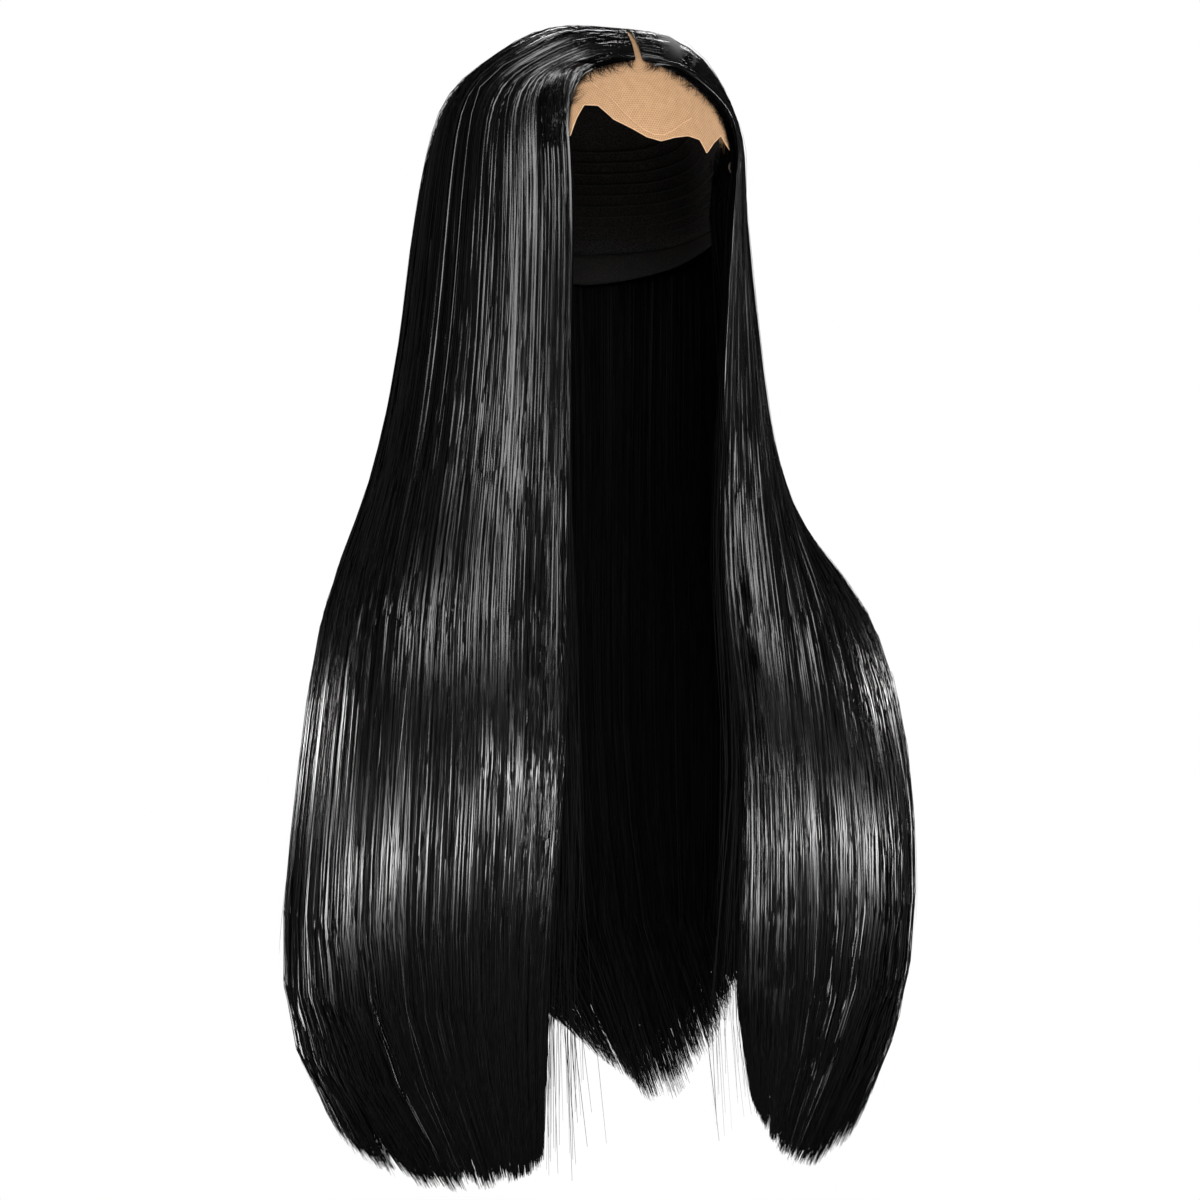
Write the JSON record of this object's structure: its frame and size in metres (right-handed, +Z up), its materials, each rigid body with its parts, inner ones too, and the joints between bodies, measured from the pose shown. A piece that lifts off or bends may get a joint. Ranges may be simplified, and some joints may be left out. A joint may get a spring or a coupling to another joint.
{
  "type": "lace front wig",
  "caption": "Long straight black lace front wig with a centre parting, a nude lace edge over the forehead, a stretch cap and hair falling over both shoulders and the back.",
  "frame": {"origin": "top of the head inside the cap, where the head carries the wig", "axes": "+Z up, the wig faces -Y, the wearer's left is +X"},
  "size_m": [0.3917, 0.2536, 0.6892],
  "materials": {
    "hair": "glossy straight black hair with a soft sheen",
    "nude_lace": "fine nude lace mesh, matte",
    "cap_net": "black stretch net, matte",
    "brown_sheer": "sheer dark brown cloth, matte"
  },
  "bodies": {
    "root": {"lace_front": "nude_lace", "cap_dome": "cap_net", "nape_band": "cap_net", "ear_tab_left": "brown_sheer", "ear_tab_right": "brown_sheer", "lock_front_right_1": "hair", "lock_front_right_2": "hair", "lock_front_right_3": "hair", "lock_front_right_4": "hair", "lock_front_right_5": "hair", "lock_front_left_1": "hair", "lock_front_left_2": "hair", "lock_front_left_3": "hair", "lock_front_left_4": "hair", "lock_front_left_5": "hair", "lock_back_1": "hair", "lock_back_2": "hair", "lock_back_3": "hair", "lock_back_4": "hair", "lock_back_5": "hair", "lock_back_6": "hair"}
  },
  "joints": []
}
